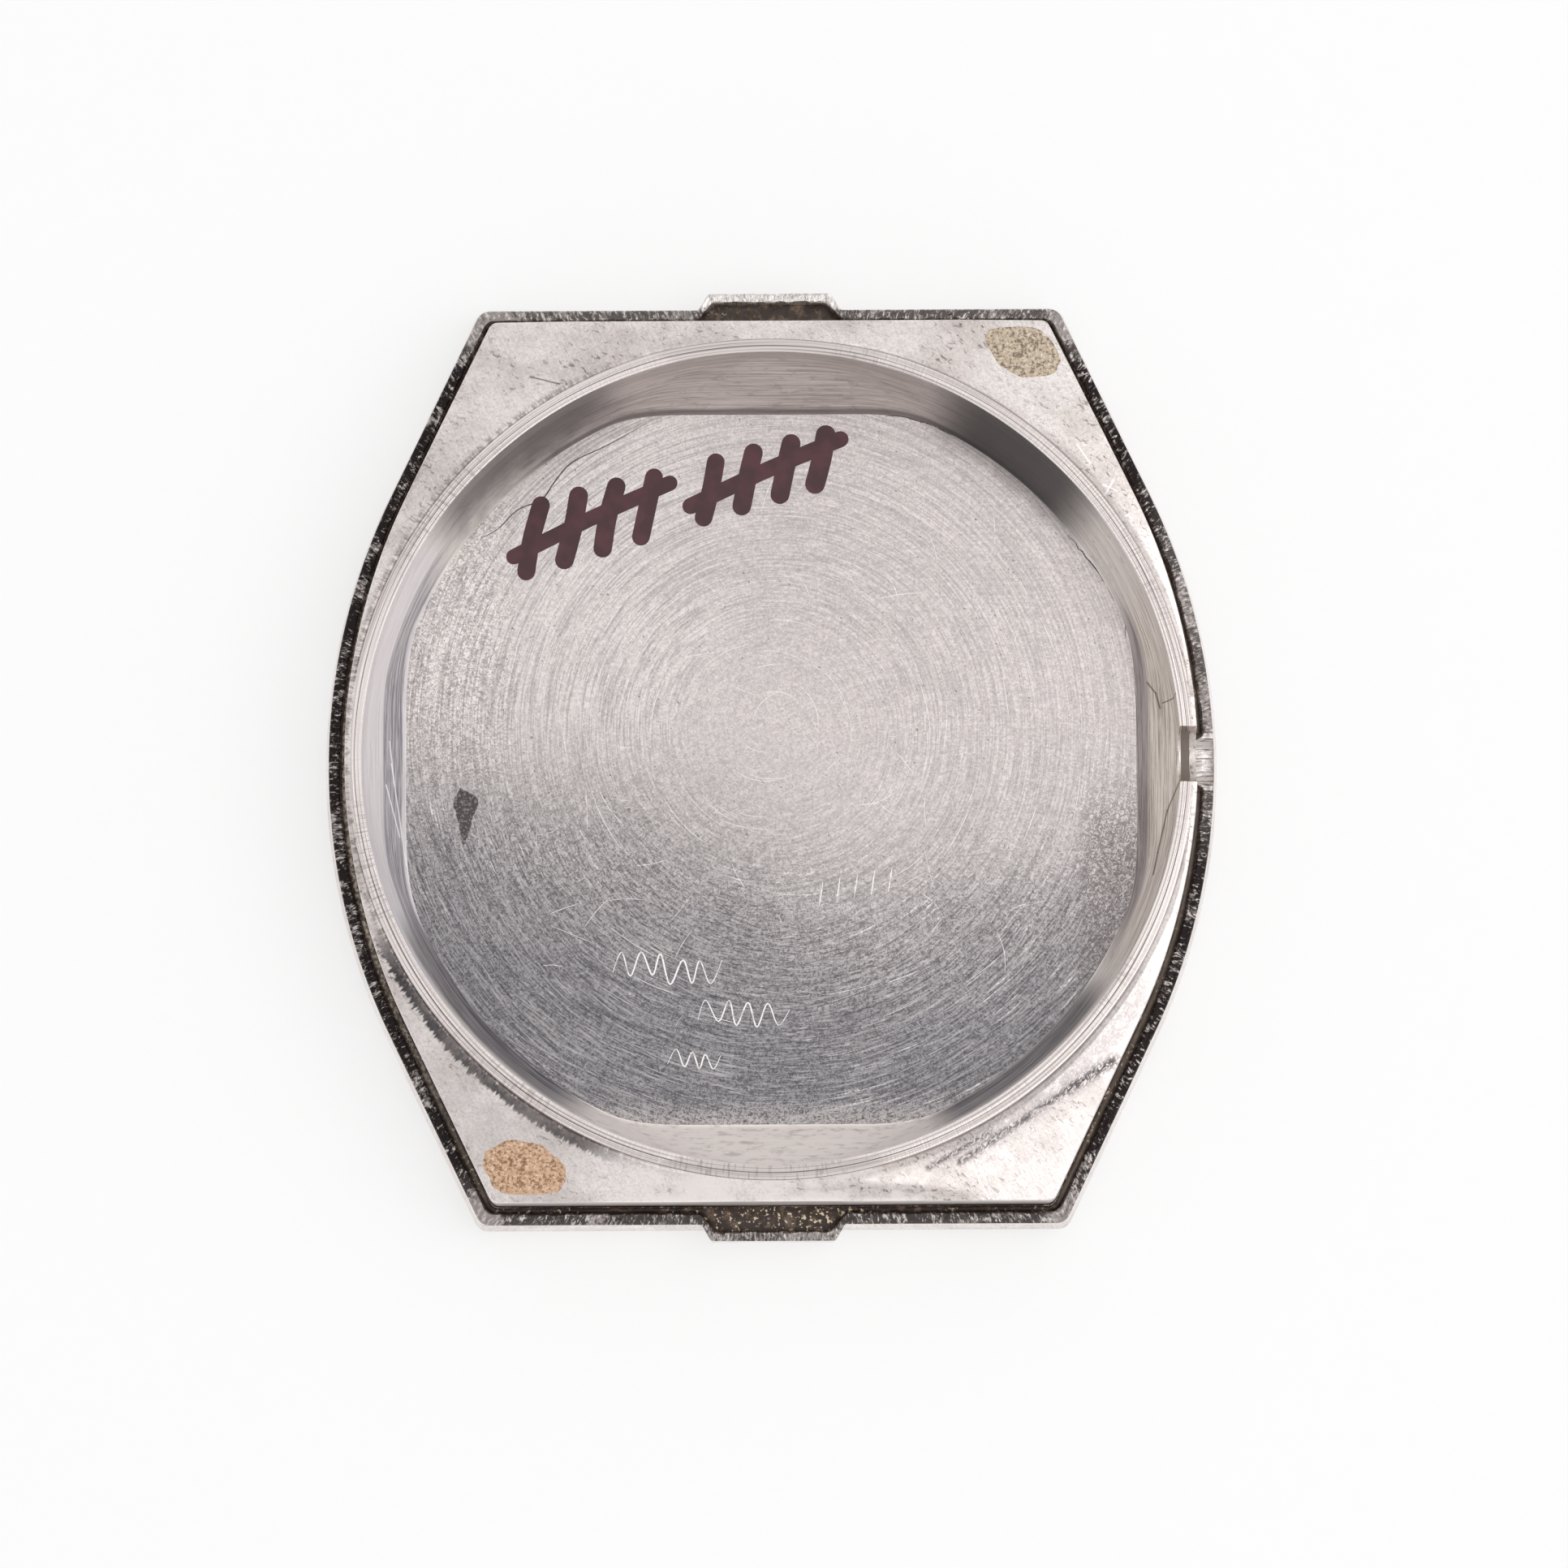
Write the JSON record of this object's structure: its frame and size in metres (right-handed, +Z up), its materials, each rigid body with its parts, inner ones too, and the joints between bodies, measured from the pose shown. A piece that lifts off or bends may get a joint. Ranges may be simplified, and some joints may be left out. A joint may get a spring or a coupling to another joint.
{
  "type": "watch case back with movement frame",
  "caption": "Barrel-shaped press-on back of a wristwatch, inside up, with a raised ring whose round bore carries the movement and a notch for the winding stem.",
  "frame": {"origin": "on the resting plane under the outer face of the back, on the axis of the movement bore", "axes": "+X towards the stem notch at 3 o'clock, +Y towards 12 o'clock, +Z up out of the inside of the back, along the bore's axis"},
  "size_m": [0.0284, 0.0302, 0.004],
  "materials": {
    "shell_steel": "pressed stainless steel, circular-brushed inside, sheared and darkened on the rim edge",
    "frame_steel": "turned and hand-finished stainless steel with fine pits and scratches",
    "packed_dirt": "hardened grease and dirt, nearly black, with rusty and gold glints",
    "dried_adhesive": "dried adhesive, tan and granular"
  },
  "bodies": {
    "shell": {"back_shell": "shell_steel", "groove_residue": "packed_dirt"},
    "frame": {"movement_frame": "frame_steel", "dial_dot_upper": "dried_adhesive", "dial_dot_lower": "dried_adhesive"}
  },
  "joints": [
    {"name": "frame_lift", "type": "slide", "parent": "shell", "child": "frame", "axis": [0, 0, 1], "range_m": [0, 0.008]}
  ]
}
